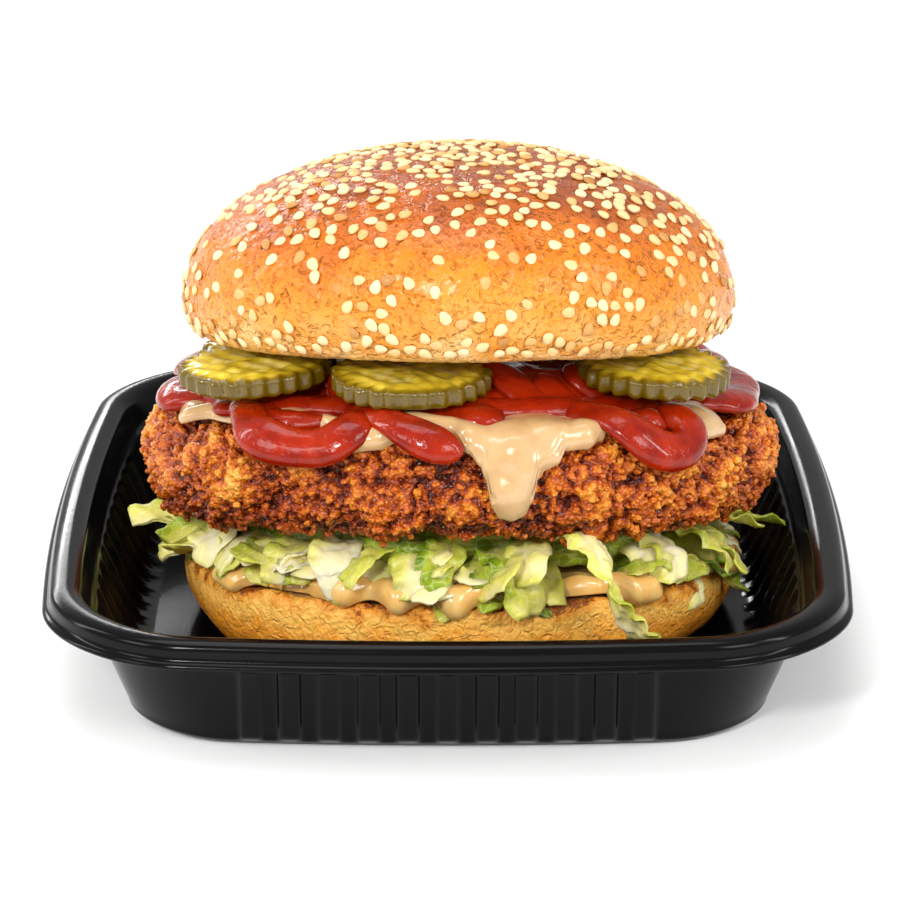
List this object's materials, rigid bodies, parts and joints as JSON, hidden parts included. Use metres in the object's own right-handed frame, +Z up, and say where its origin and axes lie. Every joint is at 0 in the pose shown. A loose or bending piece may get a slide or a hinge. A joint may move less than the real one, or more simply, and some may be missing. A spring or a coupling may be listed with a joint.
{
  "type": "fried chicken sandwich in a takeaway tray",
  "caption": "Fried chicken sandwich in a seeded bun with lettuce, pickles and sauces, resting in an open black plastic takeaway tray.",
  "frame": {"origin": "centre of the tray's flat underside, on the surface that it rests on", "axes": "+Z up, +Y along the tray's longer side away from the shown front, +X along its shorter side to the right"},
  "size_m": [0.152, 0.161, 0.0937],
  "materials": {
    "tray_plastic": "formed black polypropylene, satin with soft highlights",
    "bread": "baked bun, glazed golden brown top, pale sides, soft sheen",
    "pink_sauce": "wet glossy burger sauce",
    "lettuce": "shredded iceberg lettuce, damp, pale ribs",
    "fried_crust": "craggy fried crust with an oily glint",
    "cream_sauce": "wet glossy cream sauce",
    "red_sauce": "wet glossy ketchup",
    "pickle": "crinkle-cut pickled cucumber, wet, dark skin"
  },
  "bodies": {
    "root": {"tray": "tray_plastic", "heel": "bread", "burger_sauce": "pink_sauce", "lettuce": "lettuce", "patty": "fried_crust", "cream_sauce": "cream_sauce", "ketchup": "red_sauce", "pickle_1": "pickle", "pickle_2": "pickle", "pickle_3": "pickle", "pickle_4": "pickle", "crown": "bread"}
  },
  "joints": []
}
